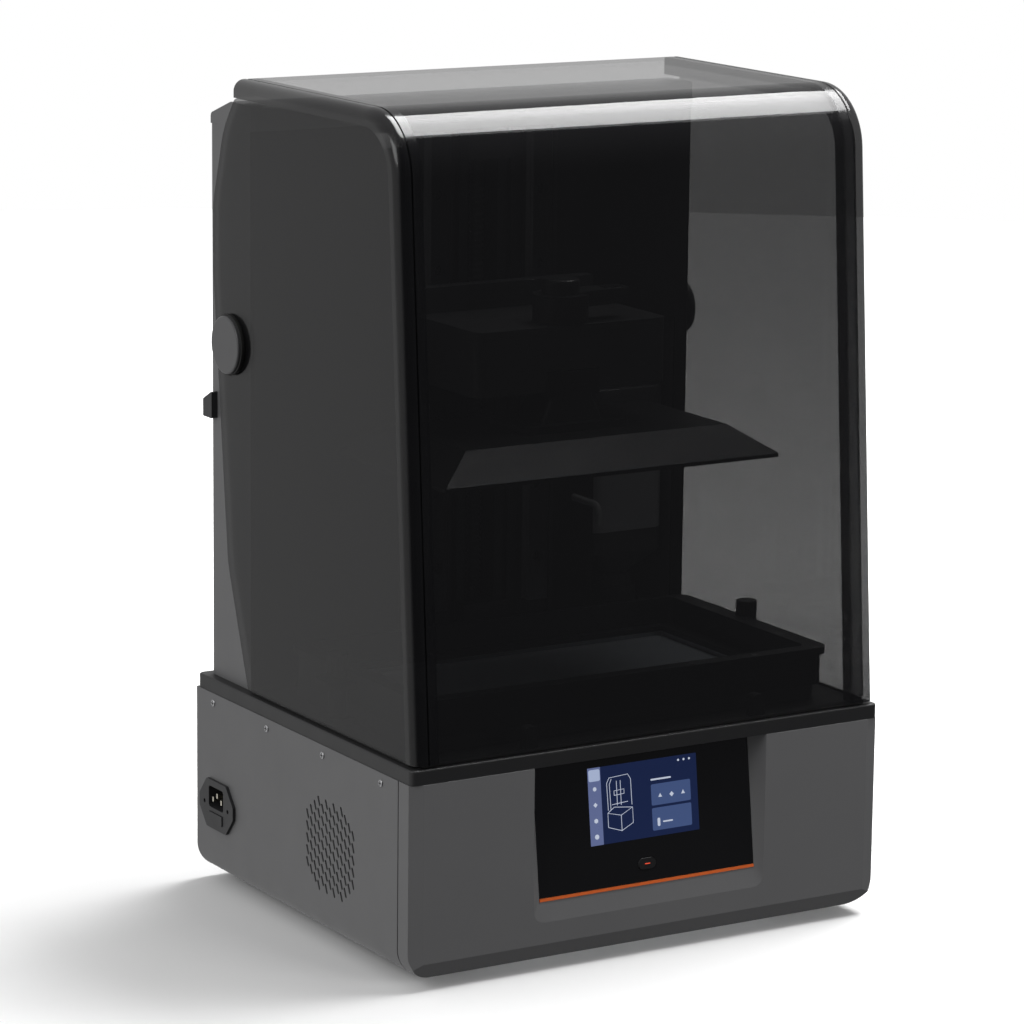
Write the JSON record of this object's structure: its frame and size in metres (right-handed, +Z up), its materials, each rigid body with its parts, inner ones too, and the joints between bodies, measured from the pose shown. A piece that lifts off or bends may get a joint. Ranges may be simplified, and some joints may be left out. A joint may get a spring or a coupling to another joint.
{
  "type": "resin printer",
  "caption": "Desktop resin printer with a tub base and touch display, a rear lift column, a hanging build platform, a resin vat and a tinted hood that swings up and back.",
  "frame": {"origin": "centre of the object's box at the height of the surface it stands on", "axes": "+Z up, -Y towards the display front, +X to the right seen from the front"},
  "size_m": [0.4293, 0.348, 0.655],
  "materials": {
    "graphite_shell": "fine textured powder coat, semi-matte",
    "deck_black": "dark anodised",
    "cover_black": "textured black",
    "zinc_steel": "zinc plated",
    "black_plastic": "moulded, fine grain",
    "rubber_black": "soft matte",
    "pin_metal": "nickel plated",
    "circuit_board": "solder mask",
    "display_black": "glossy cover glass",
    "screen_picture": "lit panel",
    "orange_strip": "satin",
    "button_grey": "satin",
    "mask_glass": "dark panel glass",
    "frame_black": "black anodised",
    "lens_clear": "clear moulded lenses",
    "cast_grey": "dark anodised",
    "motor_black": "black with bare end caps",
    "rail_steel": "ground steel",
    "nut_brass": "turned",
    "arm_paint": "cast, textured black paint",
    "knob_black": "moulded",
    "platform_metal": "dark, satin ground",
    "vat_metal": "dark anodised",
    "film_clear": "clear film",
    "bottle_plastic": "blow moulded",
    "tube_clear": "translucent",
    "hood_tint": "smoke tinted, clear gloss",
    "hood_frame": "dark satin gloss",
    "hinge_cover": "satin"
  },
  "bodies": {
    "root": {"accent_strip": "orange_strip", "base_tray": "zinc_steel", "bearing_blocks": "cast_grey", "bottle_seat": "black_plastic", "button_switch": "black_plastic", "column_cap": "graphite_shell", "column_front": "cover_black", "column_shell": "graphite_shell", "column_spine": "cast_grey", "deck_plate": "deck_black", "display_glass": "display_black", "display_module": "screen_picture", "feed_pump": "black_plastic", "feed_tube": "tube_clear", "feet": "rubber_black", "front_fascia": "graphite_shell", "heat_sink": "cast_grey", "hinge_pins": "zinc_steel", "hood_bumpers": "black_plastic", "inlet_housing": "black_plastic", "inlet_pins": "pin_metal", "led_board": "circuit_board", "lens_array": "lens_clear", "light_shroud": "black_plastic", "linear_rails": "rail_steel", "mainboard": "circuit_board", "mask_screen": "mask_glass", "panel_screws": "zinc_steel", "port_block": "black_plastic", "power_supply": "zinc_steel", "rail_bolts": "rail_steel", "rear_clip": "black_plastic", "rear_panel": "graphite_shell", "screen_frame": "frame_black", "side_fan_frames": "black_plastic", "side_panel_left": "graphite_shell", "side_panel_right": "graphite_shell", "stepper_motor": "motor_black", "vat_posts": "cast_grey"},
    "hood": {"hood_sheet": "hood_tint", "hood_sides": "hood_tint", "hood_frames": "hood_frame", "hinge_discs": "hinge_cover"},
    "carriage": {"rail_blocks": "rail_steel", "carriage_arm": "arm_paint", "lead_nut": "nut_brass"},
    "screw": {"lead_screw": "rail_steel", "shaft_coupler": "rail_steel"},
    "platform": {"build_platform": "platform_metal"},
    "lever": {"lock_lever": "knob_black"},
    "vat": {"vat_tray": "vat_metal", "release_film": "film_clear", "film_frame": "zinc_steel"},
    "knob_left": {"vat_knob_left": "knob_black"},
    "knob_right": {"vat_knob_right": "knob_black"},
    "bottle": {"resin_bottle": "bottle_plastic"},
    "fuse": {"fuse_drawer": "black_plastic"},
    "button": {"power_button": "button_grey"},
    "fan_left": {"fan_rotor_left": "black_plastic"},
    "fan_right": {"fan_rotor_right": "black_plastic"}
  },
  "joints": [
    {"name": "hood_hinge", "type": "hinge", "parent": "root", "child": "hood", "pos_m": [0, 0.1215, 0.4467], "axis": [-1, 0, 0], "range_deg": [0, 72]},
    {"name": "z_slide", "type": "slide", "parent": "root", "child": "carriage", "axis": [0, 0, 1], "range_m": [-0.1795, 0.12]},
    {"name": "screw_spin", "type": "hinge", "parent": "root", "child": "screw", "pos_m": [0, 0.097, 0.3], "axis": [0, 0, 1], "range_deg": [-13000, 8800]},
    {"name": "platform_slide", "type": "slide", "parent": "carriage", "child": "platform", "axis": [0, -1, 0], "range_m": [0, 0.034]},
    {"name": "lever_turn", "type": "hinge", "parent": "carriage", "child": "lever", "pos_m": [0, -0.032, 0.48], "axis": [0, 0, 1], "range_deg": [0, 90]},
    {"name": "vat_lift", "type": "slide", "parent": "root", "child": "vat", "axis": [0, 0, 1], "range_m": [0, 0.06]},
    {"name": "knob_left_turn", "type": "hinge", "parent": "vat", "child": "knob_left", "pos_m": [-0.1895, -0.0195, 0.215], "axis": [0, 0, 1], "continuous": true},
    {"name": "knob_right_turn", "type": "hinge", "parent": "vat", "child": "knob_right", "pos_m": [0.1895, -0.0195, 0.215], "axis": [0, 0, 1], "continuous": true},
    {"name": "bottle_lift", "type": "slide", "parent": "root", "child": "bottle", "axis": [0, 0, 1], "range_m": [0, 0.03]},
    {"name": "fuse_slide", "type": "slide", "parent": "root", "child": "fuse", "axis": [-1, 0, 0], "range_m": [0, 0.02]},
    {"name": "button_press", "type": "slide", "parent": "root", "child": "button", "axis": [0, 0.9921, -0.1253], "range_m": [0, 0.0012], "stiffness_N_per_m": 900},
    {"name": "fan_left_spin", "type": "hinge", "parent": "root", "child": "fan_left", "pos_m": [-0.19, -0.0495, 0.0813], "axis": [-1, 0, 0], "continuous": true},
    {"name": "fan_right_spin", "type": "hinge", "parent": "root", "child": "fan_right", "pos_m": [0.19, -0.0495, 0.0813], "axis": [1, 0, 0], "continuous": true}
  ],
  "couplings": [
    {"joint": "screw_spin", "follows": "z_slide", "rad_per_m": 1256.6}
  ]
}
